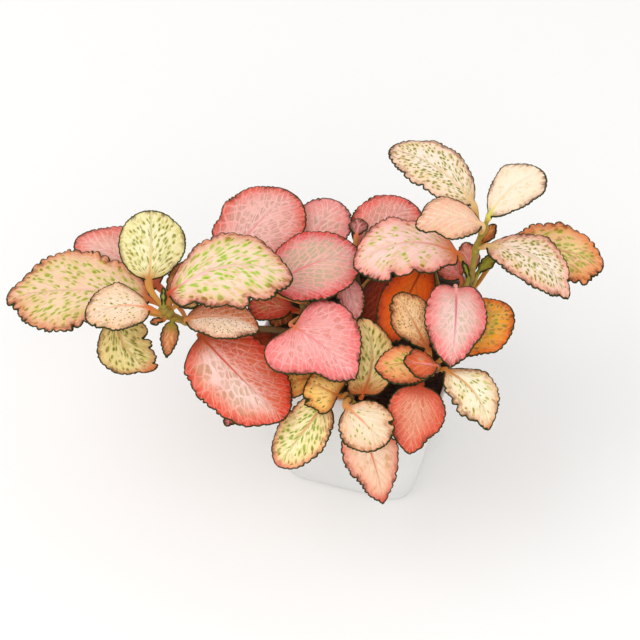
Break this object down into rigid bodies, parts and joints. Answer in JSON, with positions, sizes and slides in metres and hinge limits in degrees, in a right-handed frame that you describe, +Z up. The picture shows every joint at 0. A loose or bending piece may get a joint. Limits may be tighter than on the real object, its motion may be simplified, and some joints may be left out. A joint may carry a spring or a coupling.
{
  "type": "potted nerve plant",
  "caption": "Small bushy nerve plant with pink-veined, scalloped oval leaves on short leaning stems, growing in soil in a plain tapered square pot.",
  "frame": {"origin": "centre of the pot's foot, on the surface that the pot stands on", "axes": "+Z up; X and Y along the pot's sides, with the plant's front towards -Y and its longest spread along X: the low shoot leans out towards -X and the tall one stands at +X"},
  "size_m": [0.2328, 0.1365, 0.1517],
  "materials": {
    "leaf_pink": "satin",
    "leaf_speckled": "satin",
    "leaf_cream": "satin",
    "leaf_pale": "satin",
    "leaf_tan": "satin",
    "leaf_orange": "satin",
    "leaf_red": "satin",
    "leaf_shade": "satin",
    "leaf_green": "satin",
    "stem": "satin",
    "soil": "matte",
    "pot": "satin"
  },
  "bodies": {
    "root": {"pot": "pot", "soil": "soil", "stem_left": "stem", "stem_upright": "stem", "stem_rosette": "stem", "stem_front": "stem", "stem_crown": "stem", "stem_back": "stem", "left_leaf_01": "leaf_speckled", "left_leaf_02": "leaf_pale", "left_leaf_03": "leaf_cream", "left_leaf_04": "leaf_pink", "left_leaf_05": "leaf_cream", "left_leaf_06": "leaf_tan", "left_leaf_07": "leaf_speckled", "left_leaf_08": "leaf_pale", "left_leaf_09": "leaf_tan", "left_leaf_10": "leaf_tan", "left_leaf_11": "leaf_cream", "left_leaf_12": "leaf_pink", "left_leaf_13": "leaf_pink", "left_leaf_14": "leaf_pink", "left_leaf_15": "leaf_shade", "left_bud": "leaf_green", "crown_leaf_01": "leaf_pink", "crown_leaf_02": "leaf_pink", "crown_leaf_03": "leaf_pink", "crown_leaf_04": "leaf_shade", "crown_leaf_05": "leaf_red", "crown_leaf_06": "leaf_tan", "back_leaf_01": "leaf_pink", "back_leaf_02": "leaf_pink", "back_leaf_03": "leaf_pink", "back_leaf_04": "leaf_pink", "back_leaf_05": "leaf_pink", "upright_leaf_01": "leaf_speckled", "upright_leaf_02": "leaf_pale", "upright_leaf_03": "leaf_pale", "upright_leaf_04": "leaf_speckled", "upright_leaf_05": "leaf_orange", "upright_leaf_06": "leaf_tan", "upright_leaf_07": "leaf_green", "upright_leaf_08": "leaf_pink", "upright_leaf_09": "leaf_pink", "upright_leaf_10": "leaf_speckled", "upright_leaf_11": "leaf_pink", "upright_leaf_12": "leaf_shade", "upright_bud": "leaf_green", "rosette_leaf_01": "leaf_orange", "rosette_leaf_02": "leaf_cream", "rosette_leaf_03": "leaf_pink", "rosette_leaf_04": "leaf_orange", "rosette_leaf_05": "leaf_tan", "rosette_leaf_06": "leaf_red", "front_leaf_01": "leaf_cream", "front_leaf_02": "leaf_tan", "front_leaf_03": "leaf_tan", "front_leaf_04": "leaf_pale", "front_leaf_05": "leaf_cream", "front_leaf_06": "leaf_orange"}
  },
  "joints": []
}
